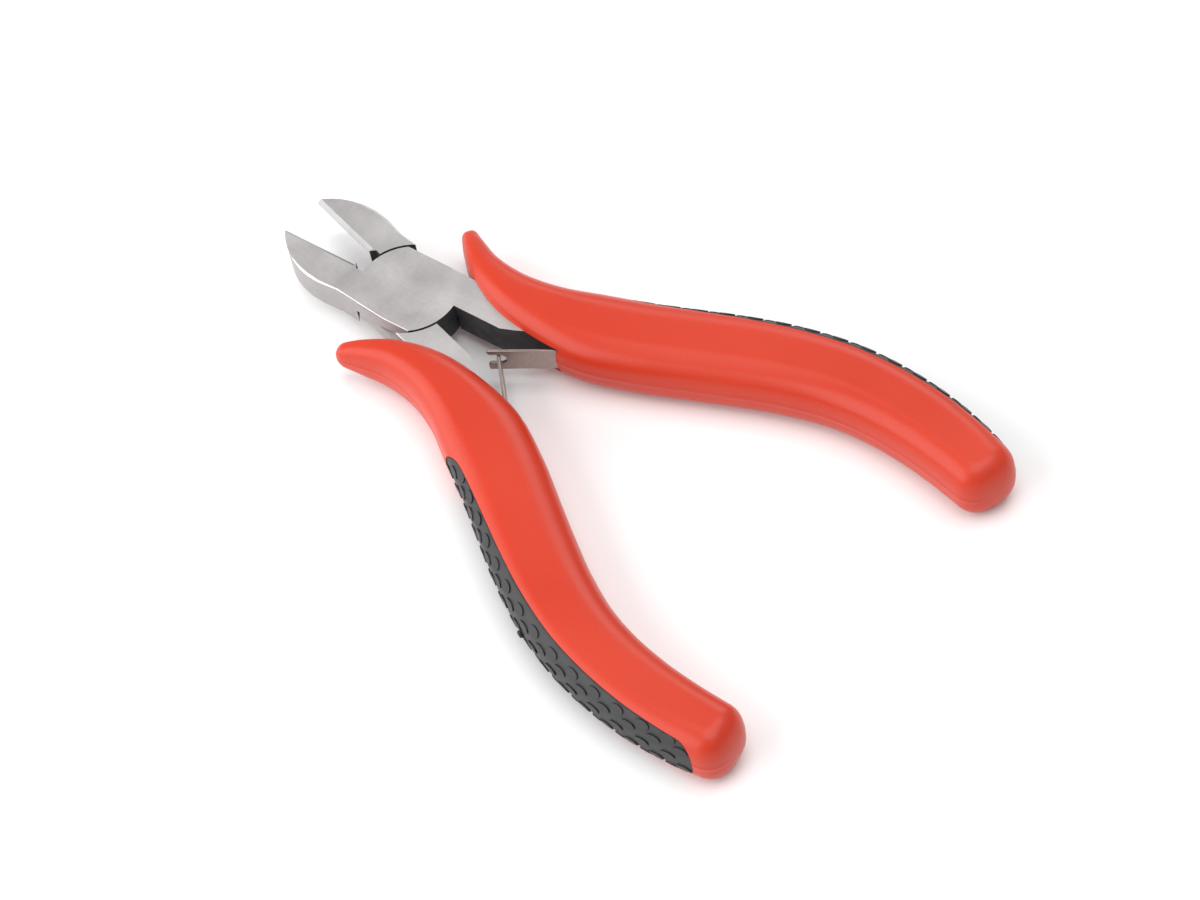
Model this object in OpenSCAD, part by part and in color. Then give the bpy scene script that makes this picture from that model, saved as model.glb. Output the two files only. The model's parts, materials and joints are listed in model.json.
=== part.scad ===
// Mini diagonal cutting pliers with interlocked leaf springs, lying flat and held open by the springs.
// Origin: the pivot axis, on the surface the grips rest on. +X runs to the jaw tips, +Z up.
// Half A has its jaw on the +Y side and its handle on the -Y side. Half B is its mirror image.
// Each half is drawn closed, with its cutting edge on the X axis, then turned open about the pivot.

/* [Joint] */
// Angle between the cutting edges when the springs hold the tool open, degrees
open_deg = 16; // [14:1:18]
// Radius of the half-lap disc
disc_r = 7.75; // [7.4:0.05:8.0]
// Gap between a disc and the other half's shoulder
shoulder_gap = 0.35; // [0.2:0.05:0.5]
// Thickness of the steel head and tangs
head_t = 5.34; // [5.0:0.02:5.8]
// Radius of the rivet's shank
rivet_r = 2.5; // [2:0.1:3]
// Radial running clearance of the rivet in half B
rivet_clear = 0.05; // [0.02:0.01:0.1]

/* [Jaws] */
// Length from the pivot to the jaw tip
jaw_len = 22.8; // [22:0.1:23.5]
// Greatest width of one jaw
jaw_w = 5.65; // [5.4:0.05:5.9]
// Distance from the pivot to the root of the cutting edge
edge_root_x = 9.6; // [9.2:0.1:10.2]
// Depth of the cutting edge below the top face
edge_depth = 0.78; // [0.6:0.02:1]
// Width of the bevel above the cutting edge
top_bevel_w = 0.68; // [0.5:0.02:0.9]
// Width of the bevel below the cutting edge, at the underside
under_bevel_w = 2.7; // [2:0.1:3.2]

/* [Springs] */
// Thickness of a leaf
leaf_t = 0.45; // [0.4:0.01:0.5]
// Width of a leaf
leaf_w = 4.2; // [4:0.05:4.4]
// Distance from the pivot to where the leaves cross
cross_x = 17.9; // [17.7:0.1:18.1]
// How far the crossing lies towards handle A from the centre line
cross_y = 0.25; // [0:0.05:0.25]
// Angle of a leaf to the closed handle
leaf_deg = 30.8; // [30:0.1:31.5]
// Length of a leaf from the place where it bends to the crossing
leaf_arm = 13.8; // [13.6:0.05:14]
// Height of the fork's slot
slot_h = 1.9; // [1.7:0.05:2]

/* [Grips] */
// Thickness of a grip at its thickest
grip_t = 10; // [9.6:0.1:10.6]
// Squareness of the grip's cross-section: 2 is an ellipse
grip_square = 2.8; // [2.4:0.1:3.2]
// Depth of the rubber insert
insert_depth = 1.5; // [1:0.1:2]
// How far the insert stands out of the grip, to the tops of its pads
insert_proud = 0.2; // [0.1:0.05:0.4]

/* [Hidden] */
$fn = 64;
half_open = open_deg / 2;
mid_z = grip_t / 2;
head_top = mid_z + head_t / 2;
head_bottom = mid_z - head_t / 2;
shoulder_r = disc_r + shoulder_gap;
head_half_w = 6.25;
over = 1;

// Half the vertical gap between the two laps
lap_gap = 0.03;
// Distance that keeps the closed cutting edges just apart
edge_gap = 0.02;
edge_z = head_top - edge_depth;
throat_y = 0.85;
throat_step_x = 0.6;

// Jaw: where it is widest, its slight waist behind that, and the radius of its rounded outer side
jaw_wide_x = 12.5;
jaw_waist = [9, jaw_w - 0.25];
jaw_tip_y = 0.35;
jaw_arc_r = (pow(jaw_len - jaw_wide_x, 2) + pow(jaw_w - jaw_tip_y, 2)) / (2 * (jaw_w - jaw_tip_y));

// Rivet
rivet_top = mid_z + 1.9;
rivet_head_r = 3.6;
rivet_head_h = 1.1;

// Leaf springs, in the closed half's frame
leaf_dir = [cos(leaf_deg), sin(leaf_deg)];
leaf_side = [sin(leaf_deg), -cos(leaf_deg)];
fork_tip = leaf_arm + 1.6;
tongue_tip = leaf_arm + 0.85;
foot_len = 6;
foot_gap = 0.08;
slot_z = mid_z + 0.35;
slot_round = slot_h / 2;
slot_start = leaf_arm - 0.25;
slot_flare = 0.35;
neck_h = slot_h - 0.4;
neck_start = leaf_arm - 0.85;
neck_end = leaf_arm + 0.55;
tongue_head_h = slot_h + 0.2;
spring_rivet_r = 0.8;
spring_rivet_head_r = 1.4;
spring_rivet_head_h = 0.5;
spring_rivet_d = -3.4;
spring_rivet_len = 3.2;

// Clearance round a leaf inside its grip
pocket_clear = 0.35;
tang_half = 1.6;

// Grip spine from the thumb guard's tip to the rear end: x, y, half width, half thickness
spine = [
    [-0.3, -14.0, 1.1, 1.5],
    [-3.4, -11.6, 1.8, 3.0],
    [-8, -8.8, 2.7, 4.2],
    [-14, -7.0, 3.9, 4.8],
    [-20.5, -6.8, 5.0, 5],
    [-27.5, -7.8, 6.2, 5],
    [-35, -10.0, 6.4, 5],
    [-42, -12.6, 6.4, 5],
    [-48.5, -15.0, 6.4, 5],
    [-55.5, -17.2, 6.25, 5],
    [-63, -18.7, 6.0, 5],
    [-70, -19.0, 5.75, 5],
    [-77, -18.4, 5.55, 5],
    [-83, -17.2, 5.3, 5],
    [-88, -15.8, 5.0, 4.95],
    [-92.6, -14.2, 4.6, 4.8]
];
spine_n = len(spine) - 1;
// The sweep dips this far below the rest surface before it is cut flat
rest_flat = 0.15;
ring_count = 56;
ring_sides = 28;
tip_round = 0.03;
end_round = 0.042;
// The insert's place along the spine, and half its angle at its ends and half way along
insert_from = 0.345;
insert_to = 0.942;
insert_deg = [38, 56];
insert_steps = 10;

// ---- placing -------------------------------------------------------------------------------------

// Turns a closed half A open about the pivot
module open_a() {
    rotate([0, 0, half_open]) children();
}

// Half B is half A mirrored, turned open the other way
module open_b() {
    rotate([0, 0, -half_open]) mirror([0, 1, 0]) children();
}

// The leaf's root, about which it turns in its handle. off is the crossing's distance from the centre line,
// towards this half's handle.
function leaf_root(off) = [
    -cross_x * cos(half_open) - off * sin(half_open),
    cross_x * sin(half_open) - off * cos(half_open)
] - leaf_arm * leaf_dir;

// A point at distance d along the leaf from its root, and across towards the tang
function on_leaf(off, d, across) = leaf_root(off) + d * leaf_dir + across * leaf_side;

// Puts its children with x along the leaf, y across it and z up
module leaf_frame(off) {
    translate([leaf_root(off)[0], leaf_root(off)[1], mid_z]) rotate([0, 0, leaf_deg]) children();
}

// ---- steel halves --------------------------------------------------------------------------------

// Front of the jaw: its outer side is one arc
module jaw_nose_plan() {
    intersection() {
        translate([jaw_wide_x, jaw_w - jaw_arc_r]) circle(r = jaw_arc_r);
        translate([jaw_wide_x, edge_gap]) square([jaw_len - jaw_wide_x, jaw_w]);
    }
}

module jaw_plan() {
    union() {
        jaw_nose_plan();
        polygon([
            [jaw_wide_x, edge_gap],
            [jaw_wide_x, jaw_w],
            jaw_waist,
            [0, head_half_w],
            [0, throat_y],
            [edge_root_x - throat_step_x, throat_y],
            [edge_root_x, edge_gap]
        ]);
    }
}

// Tang: out of the disc, past the leaf's foot and down the middle of the grip
module tang_plan(off) {
    polygon([
        [0, -throat_y],
        [-16, -throat_y],
        [-18.5, -1.8],
        [-21, -3.0],
        [-25, -4.4],
        on_leaf(off, -0.5, leaf_t / 2),
        on_leaf(off, -foot_len, leaf_t / 2),
        [-41, -12.3 + tang_half],
        [-52, -16.2 + tang_half],
        [-61, -18.4 + tang_half],
        [-69, -18.9 + tang_half],
        [-69, -18.9 - tang_half],
        [-61, -18.4 - tang_half],
        [-52, -16.2 - tang_half],
        [-40, -14.4],
        [-28, -11],
        [-20, -9],
        [-14, -8.1],
        [-9, -head_half_w],
        [0, -head_half_w]
    ]);
}

module disc_plan() {
    intersection() {
        circle(r = disc_r);
        square([2 * disc_r + over, 2 * head_half_w], center = true);
    }
}

// The wedge that leaves a cutting edge: a small bevel above the edge and a deep one below it
module edge_bevels() {
    translate([edge_root_x, 0, 0]) rotate([90, 0, 90]) linear_extrude(jaw_len)
        polygon([
            [-over, head_top + over],
            [edge_gap + top_bevel_w * (edge_depth + over) / edge_depth, head_top + over],
            [edge_gap, edge_z],
            [edge_gap + under_bevel_w * (1 + over / (edge_z - head_bottom)), head_bottom - over],
            [-over, head_bottom - over]
        ]);
}

// One steel half in its closed place. The lap is the upper one for half A and the lower one for half B.
module steel_half(upper_lap, off) {
    cut_z = upper_lap ? head_bottom - over : mid_z - lap_gap;
    difference() {
        translate([0, 0, head_bottom]) linear_extrude(head_t) union() {
            jaw_plan();
            disc_plan();
            tang_plan(off);
        }
        translate([0, 0, cut_z]) cylinder(r = shoulder_r, h = head_t / 2 + over + lap_gap);
        edge_bevels();
        spring_rivet_shank(off);
    }
}

module jaw_half_a() {
    color("silver") open_a() difference() {
        steel_half(true, cross_y);
        cylinder(r = rivet_r, h = rivet_top);
    }
}

module jaw_half_b() {
    color("silver") open_b() difference() {
        steel_half(false, -cross_y);
        rivet_shape(rivet_clear, head_top);
    }
}

// Countersunk rivet: the head below, flush with half B, and the shank up into a blind bore in half A
module rivet_shape(clear, top) {
    rotate_extrude() polygon([
        [0, head_bottom],
        [rivet_head_r + clear, head_bottom],
        [rivet_r + clear, head_bottom + rivet_head_h],
        [rivet_r + clear, top],
        [0, top]
    ]);
}

module pivot_rivet() {
    color("silver") rivet_shape(0, rivet_top);
}

// ---- leaf springs --------------------------------------------------------------------------------

// Leaf outline seen along its thin side: x from the root, y up
module leaf_outline(len) {
    translate([0, -leaf_w / 2]) square([len, leaf_w]);
}

// Stands an outline on the leaf's plane and gives it the leaf's thickness
module leaf_plate() {
    rotate([90, 0, 0]) linear_extrude(leaf_t, center = true) children();
}

module leaf_root_round() {
    cylinder(d = leaf_t, h = leaf_w, center = true);
}

module forked_leaf(off) {
    leaf_frame(off) union() {
        leaf_root_round();
        leaf_plate() difference() {
            leaf_outline(fork_tip);
            translate([slot_start, slot_z - mid_z]) circle(r = slot_round);
            translate([slot_start, slot_z - mid_z - slot_round]) square([fork_tip, slot_h]);
            translate([fork_tip - slot_flare, slot_z - mid_z]) polygon([
                [0, slot_round],
                [slot_flare, slot_round + slot_flare],
                [slot_flare, -slot_round - slot_flare],
                [0, -slot_round]
            ]);
        }
    }
}

module tongue_leaf(off) {
    leaf_frame(off) union() {
        leaf_root_round();
        leaf_plate() union() {
            leaf_outline(neck_start);
            translate([0, slot_z - mid_z - neck_h / 2]) square([tongue_tip, neck_h]);
            translate([neck_end, slot_z - mid_z - tongue_head_h / 2])
                square([tongue_tip - neck_end, tongue_head_h]);
        }
    }
}

// The riveted end of a leaf, which stays still in the handle
module leaf_foot(off) {
    foot_start = leaf_t / 2 + foot_gap;
    difference() {
        leaf_frame(off) leaf_plate() translate([-foot_len, -leaf_w / 2]) square([foot_len - foot_start, leaf_w]);
        spring_rivet_shank(off);
    }
}

// Shank of a spring rivet, through the foot and into the tang
module spring_rivet_shank(off) {
    leaf_frame(off) translate([spring_rivet_d, leaf_t / 2, 0]) rotate([90, 0, 0])
        cylinder(r = spring_rivet_r, h = spring_rivet_len);
}

module spring_rivet(off) {
    union() {
        spring_rivet_shank(off);
        leaf_frame(off) translate([spring_rivet_d, leaf_t / 2 + spring_rivet_head_h, 0]) rotate([90, 0, 0])
            cylinder(r = spring_rivet_head_r, h = spring_rivet_head_h);
    }
}

module leaf_spring_a() {
    color("dimgray") open_a() forked_leaf(cross_y);
}

module leaf_spring_b() {
    color("dimgray") open_b() tongue_leaf(-cross_y);
}

module leaf_foot_a() {
    color("dimgray") open_a() leaf_foot(cross_y);
}

module leaf_foot_b() {
    color("dimgray") open_b() leaf_foot(-cross_y);
}

module spring_rivet_a() {
    color("gray") open_a() spring_rivet(cross_y);
}

module spring_rivet_b() {
    color("gray") open_b() spring_rivet(-cross_y);
}

// ---- grips ---------------------------------------------------------------------------------------

// Smooth curve through the spine's rows, u from 0 at the guard's tip to 1 at the rear end
function spine_row(i) = spine[max(0, min(spine_n, i))];
function blend_rows(a, b, c, d, t) = 0.5 * (
    2 * b + (c - a) * t + (2 * a - 5 * b + 4 * c - d) * t * t + (3 * b - a - 3 * c + d) * t * t * t
);
function at_spine(u) = let (
        k = min(floor(u * spine_n), spine_n - 1),
        t = u * spine_n - k
    ) blend_rows(spine_row(k - 1), spine_row(k), spine_row(k + 1), spine_row(k + 2), t);
function spine_across(u) = let (
        h = 0.002,
        d = at_spine(min(u + h, 1)) - at_spine(max(u - h, 0)),
        n = norm([d[0], d[1]])
    ) [d[1] / n, -d[0] / n];

// Rounds the two ends: 0 at an end, 1 past its rounding
function end_scale(u) = let (
        a = min(1, (1 - u) / end_round),
        b = min(1, u / tip_round)
    ) sqrt(max(0.02, 1 - pow(1 - a, 2))) * sqrt(max(0.1, 1 - pow(1 - b, 2)));

function curl(v) = sign(v) * pow(abs(v), 2 / grip_square);

// A point on the grip's skin: angle 0 is the outer side, 90 the top; grow moves it outwards
function skin(u, a, grow) = let (
        row = at_spine(u),
        s = end_scale(u),
        out = -spine_across(u),
        w = (row[2] * s + grow) * curl(cos(a))
    ) [
        row[0] + out[0] * w,
        row[1] + out[1] * w,
        mid_z + ((row[3] + rest_flat) * s + grow) * curl(sin(a))
    ];

// Closed solid through rings that all have the same number of points
module sweep(rings) {
    n = len(rings[0]);
    m = len(rings);
    polyhedron(
        points = [for (ring = rings) for (p = ring) p],
        faces = concat(
            [[for (i = [0 : n - 1]) i]],
            [[for (i = [0 : n - 1]) m * n - 1 - i]],
            [
                for (j = [0 : m - 2]) for (i = [0 : n - 1])
                    let (k = (i + 1) % n)
                    each [
                        [j * n + i, (j + 1) * n + i, (j + 1) * n + k],
                        [j * n + i, (j + 1) * n + k, j * n + k]
                    ]
            ]
        )
    );
}

// Rings crowd together at the ends, where the grip rounds off
function ring_u(j) = 0.5 - 0.5 * cos(180 * j / ring_count) * (0.8 + 0.2 * pow(cos(180 * j / ring_count), 2));

module grip_skin(grow) {
    intersection() {
        sweep([
            for (j = [0 : ring_count])
                [for (i = [0 : ring_sides - 1]) skin(ring_u(j), 360 * i / ring_sides, grow)]
        ]);
        translate([-150, -100, 0]) cube([200, 200, grip_t]);
    }
}

// Space taken out of the outer side for the insert: round at both ends and widest in the middle
function insert_angle(t) = (insert_deg[0] + (insert_deg[1] - insert_deg[0]) * sin(180 * t))
    * sqrt(max(0.02, 1 - pow(max(0, 1 - t / 0.065), 2)))
    * sqrt(max(0.02, 1 - pow(max(0, (t - 0.945) / 0.055), 2)));

module insert_space() {
    sweep([
        for (j = [0 : ring_count])
            let (
                t = 0.5 - 0.5 * cos(180 * j / ring_count),
                u = insert_from + (insert_to - insert_from) * t,
                a = insert_angle(t)
            )
            concat(
                [for (i = [0 : insert_steps]) skin(u, a * (2 * i / insert_steps - 1), over)],
                [for (i = [0 : insert_steps]) skin(u, a * (1 - 2 * i / insert_steps), -insert_depth)]
            )
    ]);
}

// Room in which the leaf swings between its open and closed places, open towards the joint
module leaf_pocket_plan(off) {
    inner = -leaf_t / 2 - pocket_clear;
    head_room = inner - spring_rivet_head_h;
    polygon([
        [-16, -throat_y],
        [-16, 3],
        [on_leaf(off, 6.6, inner)[0], 3],
        on_leaf(off, 6.6, inner),
        on_leaf(off, -1.5, inner),
        on_leaf(off, -2, head_room),
        on_leaf(off, -foot_len - 0.3, head_room),
        on_leaf(off, -foot_len - 0.3, leaf_t),
        on_leaf(off, 0, leaf_t),
        [-25, -4.5],
        [-21, -3.2],
        [-18.5, -2]
    ]);
}

module grip(off) {
    difference() {
        grip_skin(0);
        insert_space();
        translate([0, 0, head_bottom]) linear_extrude(head_t) union() {
            tang_plan(off);
            leaf_pocket_plan(off);
        }
    }
}

module grip_insert() {
    intersection() {
        grip_skin(insert_proud);
        insert_space();
    }
}

module grip_a() {
    color("tomato") open_a() grip(cross_y);
}

module grip_b() {
    color("tomato") open_b() grip(-cross_y);
}

module grip_insert_a() {
    color("#404042") open_a() grip_insert();
}

module grip_insert_b() {
    color("#404042") open_b() grip_insert();
}

jaw_half_a();
jaw_half_b();
pivot_rivet();
leaf_spring_a();
leaf_spring_b();
leaf_foot_a();
leaf_foot_b();
spring_rivet_a();
spring_rivet_b();
grip_a();
grip_b();
grip_insert_a();
grip_insert_b();
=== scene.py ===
# %% [markdown]
# # Mini diagonal cutting pliers
# Two ground steel halves lap over each other at a hidden rivet. Each half has a moulded red grip with a
# black rubber insert, and two thin leaf springs hook into each other between the handles and hold the tool
# open. This lesson dresses the CAD model of that tool: the CAD says where everything is, and Blender adds
# the fine shapes and the finishes.

# %% Load the frame
import json
import math

import bmesh
import bpy
import numpy as np
from mathutils import Matrix, Vector


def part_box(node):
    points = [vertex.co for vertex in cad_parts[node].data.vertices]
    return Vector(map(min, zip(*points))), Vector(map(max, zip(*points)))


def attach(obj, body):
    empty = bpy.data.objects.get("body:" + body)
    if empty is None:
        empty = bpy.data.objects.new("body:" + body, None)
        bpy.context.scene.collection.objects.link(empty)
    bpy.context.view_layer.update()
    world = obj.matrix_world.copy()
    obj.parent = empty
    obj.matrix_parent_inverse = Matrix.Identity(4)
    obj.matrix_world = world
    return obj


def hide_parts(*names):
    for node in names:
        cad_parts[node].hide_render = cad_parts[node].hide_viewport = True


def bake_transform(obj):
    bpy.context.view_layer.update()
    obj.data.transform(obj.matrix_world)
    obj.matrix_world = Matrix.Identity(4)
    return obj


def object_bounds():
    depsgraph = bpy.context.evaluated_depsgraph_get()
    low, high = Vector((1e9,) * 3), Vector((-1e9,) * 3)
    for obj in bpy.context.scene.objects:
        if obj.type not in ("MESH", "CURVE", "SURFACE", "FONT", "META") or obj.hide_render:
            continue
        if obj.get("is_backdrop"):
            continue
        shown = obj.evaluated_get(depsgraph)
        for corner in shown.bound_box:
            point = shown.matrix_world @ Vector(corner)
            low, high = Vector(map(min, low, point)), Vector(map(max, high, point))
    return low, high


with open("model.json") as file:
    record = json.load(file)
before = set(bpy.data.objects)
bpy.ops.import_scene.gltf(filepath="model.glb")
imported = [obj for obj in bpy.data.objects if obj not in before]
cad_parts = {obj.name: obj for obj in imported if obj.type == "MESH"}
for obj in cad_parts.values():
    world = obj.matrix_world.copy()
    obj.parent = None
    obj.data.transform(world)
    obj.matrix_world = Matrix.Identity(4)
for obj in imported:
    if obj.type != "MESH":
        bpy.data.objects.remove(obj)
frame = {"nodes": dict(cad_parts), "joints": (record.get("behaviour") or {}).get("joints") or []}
cad_low, cad_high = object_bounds()
print("CAD box in mm:", [round(1000 * x, 1) for x in (*cad_low, *cad_high)])

# %% [markdown]
# ## Two working frames
# A pair of pliers is two mirror-image halves, so it pays to draw each part once. Every part of a half is
# drawn for half A with the tool closed, in millimetres, and a matrix then turns it open. Half B uses the
# same drawing, mirrored, and turned the other way. The mirror turns a mesh inside out, so meshes that are
# made this way have their faces turned outwards again at the end.

# %% Units and the two halves
MM = 0.001
HALF_OPEN = math.radians(8)
to_metres = Matrix.Scale(MM, 4)
OPEN = {
    "a": Matrix.Rotation(HALF_OPEN, 4, "Z") @ to_metres,
    "b": Matrix.Rotation(-HALF_OPEN, 4, "Z") @ Matrix.Scale(-1, 4, (0, 1, 0)) @ to_metres,
}
CLOSED = {side: matrix.inverted() for side, matrix in OPEN.items()}
grip_low, grip_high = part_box("grip_a")
steel_low, steel_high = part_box("jaw_half_a")
MID_Z = (grip_low.z + grip_high.z) / 2 / MM
STEEL_TOP = steel_high.z / MM
STEEL_BOTTOM = steel_low.z / MM
print(f"middle plane {MID_Z:.2f} mm, steel from {STEEL_BOTTOM:.2f} to {STEEL_TOP:.2f} mm")


# %% [markdown]
# ## Small helpers
# Most pieces go through the same three steps: points and faces become a mesh object, doubles are merged and
# faces turned outwards, and modifiers are baked into the final mesh. Each step is a short function, so the
# cells below only talk about shape.

# %% Mesh helpers
def new_object(name, mesh):
    """A mesh object at the origin, in the scene."""
    obj = bpy.data.objects.new(name, mesh)
    bpy.context.scene.collection.objects.link(obj)
    return obj


def mesh_from(name, points, faces):
    """A closed mesh from points and faces, merged and facing outwards."""
    mesh = bpy.data.meshes.new(name)
    mesh.from_pydata([tuple(p) for p in points], [], faces)
    tidy_mesh(mesh)
    return mesh


def tidy_mesh(mesh, merge=1e-6):
    bm = bmesh.new()
    bm.from_mesh(mesh)
    bmesh.ops.remove_doubles(bm, verts=bm.verts, dist=merge)
    bmesh.ops.dissolve_degenerate(bm, dist=merge, edges=bm.edges)
    bmesh.ops.recalc_face_normals(bm, faces=bm.faces)
    bm.to_mesh(mesh)
    bm.free()


def bake_modifiers(obj):
    """Replaces the object's mesh with what its modifiers make of it, and takes the modifiers off."""
    graph = bpy.context.evaluated_depsgraph_get()
    graph.update()
    old = obj.data
    obj.data = bpy.data.meshes.new_from_object(
        obj.evaluated_get(graph), preserve_all_data_layers=True, depsgraph=graph)
    obj.modifiers.clear()
    name = old.name
    bpy.data.meshes.remove(old)
    obj.data.name = name


def smooth(obj, sharp_deg=35):
    """Smooth shading, apart from edges sharper than the angle."""
    obj.data.shade_smooth()
    obj.data.set_sharp_from_angle(angle=math.radians(sharp_deg))


def keep_flat(obj):
    """Turns shading normals so that large flat faces stay flat beside their rounded edges."""
    weighted = obj.modifiers.new("flat faces stay flat", "WEIGHTED_NORMAL")
    weighted.keep_sharp = True
    weighted.weight = 90
    bake_modifiers(obj)


def cut(obj, tool):
    """Cuts the tool object out of obj. The tool is then thrown away."""
    mod = obj.modifiers.new("cut", "BOOLEAN")
    mod.operation = "DIFFERENCE"
    mod.solver = "EXACT"
    mod.object = tool
    bake_modifiers(obj)
    mesh = tool.data
    bpy.data.objects.remove(tool)
    bpy.data.meshes.remove(mesh)


def count(obj):
    obj.data.calc_loop_triangles()
    return f"{obj.name}: {len(obj.data.vertices)} points, {len(obj.data.loop_triangles)} triangles"


# %% [markdown]
# ## Camera
# The tool lies flat and is seen from behind its left handle, from well above, with a long lens and the
# camera rolled a little. A long lens keeps the two handles nearly the same size. The three turns below are
# the camera's azimuth round the upright axis, its tilt away from straight down, and its roll.

# %% Camera
SENSOR_WIDTH, LENS = 36, 139.9
CAMERA_AT = Vector((-0.3563, 0.2341, 0.5371))
AZIMUTH, TILT, ROLL = (math.radians(x) for x in (-126.28, 36.355, -12.614))

camera_data = bpy.data.cameras.new("camera")
camera_data.sensor_width = SENSOR_WIDTH
camera_data.lens = LENS
camera = bpy.data.objects.new("camera", camera_data)
camera.matrix_world = (
    Matrix.Translation(CAMERA_AT)
    @ Matrix.Rotation(AZIMUTH, 4, "Z")
    @ Matrix.Rotation(TILT, 4, "X")
    @ Matrix.Rotation(ROLL, 4, "Z")
)
bpy.context.scene.collection.objects.link(camera)
bpy.context.scene.camera = camera
print("camera is", round((CAMERA_AT - (cad_low + cad_high) / 2).length, 3), "m from the tool")

# %% [markdown]
# ## Light and floor
# A product table: a pale floor, a nearly even white surround, one broad light low on the camera's left that
# draws the long highlights on the grips, and a weaker one overhead. Broad lights give metal soft, slow
# gradients. The Standard view keeps the paint and floor colours as they are, without a film curve.

# %% Light and floor
WORLD_LIGHT = 0.42
AIM = Vector((-0.03, 0, 0.005))
LAMPS = [
    # name, where from the aim point, width, height, watts
    ("key from the left", Vector((0.34, 0.52, 0.34)), 1.00, 0.75, 6.0),
    ("overhead", Vector((-0.12, -0.10, 0.80)), 0.70, 0.70, 4.0),
    ("fill from behind", Vector((0.30, -0.60, 0.45)), 0.50, 0.35, 1.4),
]

world = bpy.data.worlds.new("surround")
world.use_nodes = True
world.node_tree.nodes["Background"].inputs["Color"].default_value = (1, 1, 1, 1)
world.node_tree.nodes["Background"].inputs["Strength"].default_value = WORLD_LIGHT
bpy.context.scene.world = world
bpy.context.scene.view_settings.view_transform = "Standard"
bpy.context.scene.view_settings.look = "None"

for name, place, width, height, watts in LAMPS:
    lamp = bpy.data.lights.new(name, "AREA")
    lamp.shape = "RECTANGLE"
    lamp.size, lamp.size_y = width, height
    lamp.energy = watts
    light = bpy.data.objects.new(name, lamp)
    light.location = AIM + place
    light.rotation_euler = (-place).to_track_quat("-Z", "Y").to_euler()
    bpy.context.scene.collection.objects.link(light)

FLOOR_SIZE = 6.0
FLOOR_GAP = 0.00002
corners = [(-1, -1), (1, -1), (1, 1), (-1, 1)]
floor_mesh = bpy.data.meshes.new("floor")
floor_points = [(x * FLOOR_SIZE / 2, y * FLOOR_SIZE / 2, 0) for x, y in corners]
floor_mesh.from_pydata(floor_points, [], [(0, 1, 2, 3)])
floor = new_object("floor", floor_mesh)
floor.location.z = cad_low.z - FLOOR_GAP
floor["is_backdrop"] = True
print(len(LAMPS), "lamps")


# %% [markdown]
# ## Writing materials
# A material is a small tree of nodes. One helper makes a node, sets its plain numbers and joins its inputs,
# which keeps each recipe to a few readable lines. Numbers that are the same all over a piece go straight on
# the shader. Patterns read Object coordinates, in metres, so their scales are in turns per metre.

# %% Material helpers
class Nodes:
    """A node tree that is written as a list of steps."""

    def fill(self, node, values):
        """Sets or joins a node's inputs, by name or, as _0, _1, ..., by place."""
        for key, value in values.items():
            socket = node.inputs[int(key[1:]) if key[:1] == "_" else key.replace("_", " ")]
            if isinstance(value, bpy.types.NodeSocket):
                self.tree.links.new(value, socket)
            else:
                socket.default_value = value

    def add(self, kind, setting=None, **inputs):
        node = self.tree.nodes.new(kind)
        for key, value in (setting or {}).items():
            setattr(node, key, value)
        self.fill(node, inputs)
        return node

    def math(self, operation, *values):
        """A sum, product or the like of up to three numbers."""
        inputs = {f"_{i}": value for i, value in enumerate(values)}
        return self.add("ShaderNodeMath", {"operation": operation}, **inputs).outputs[0]


class Recipe(Nodes):
    """One material and the nodes in it."""

    def __init__(self, name, **shader):
        self.material = bpy.data.materials.new(name)
        self.material.use_nodes = True
        self.tree = self.material.node_tree
        self.shader = self.tree.nodes["Principled BSDF"]
        self.fill(self.shader, shader)
        self.place = self.add("ShaderNodeTexCoord").outputs["Object"]

    def noise(self, scale, detail=2.0, stretch=(1, 1, 1), turn=0.0):
        """Noise between about 0.3 and 0.7, finer along the axes that are stretched more."""
        spot = self.add("ShaderNodeMapping", Vector=self.place, Rotation=(0, 0, turn), Scale=stretch)
        node = self.add("ShaderNodeTexNoise", Vector=spot.outputs[0], Scale=scale, Detail=detail)
        return node.outputs["Fac"]

    def between(self, value, low, high, start=0.3, end=0.7):
        """Maps start..end of a value to low..high."""
        node = self.add("ShaderNodeMapRange", _0=value, _1=start, _2=end, _3=low, _4=high)
        return node.outputs[0]

    def tint(self, value, dark, light):
        """A colour between two, by a value from 0 to 1."""
        node = self.add("ShaderNodeMix", {"data_type": "RGBA"}, _0=value, _6=dark, _7=light)
        return node.outputs[2]

    def bump(self, height, depth, under=None):
        """Surface relief: depth is in metres."""
        extra = {"Normal": under} if under is not None else {}
        node = self.add("ShaderNodeBump", Height=height, Distance=depth, **extra)
        return node.outputs[0]

    def finish(self, **sockets):
        self.fill(self.shader, sockets)
        return self.material


def colour(red, green, blue):
    """A colour written as on screen, 0 to 255, turned into the linear light that a shader works in."""
    def linear(x):
        x /= 255
        return x / 12.92 if x <= 0.04045 else ((x + 0.055) / 1.055) ** 2.4
    return (linear(red), linear(green), linear(blue), 1.0)


floor_paint = Recipe("floor_paint", Roughness=0.9)
cloudy = floor_paint.noise(3.0)
paper = floor_paint.tint(floor_paint.between(cloudy, 0, 1), colour(246, 246, 246), colour(249, 249, 249))
floor_mesh.materials.append(floor_paint.finish(Base_Color=paper))
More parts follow.
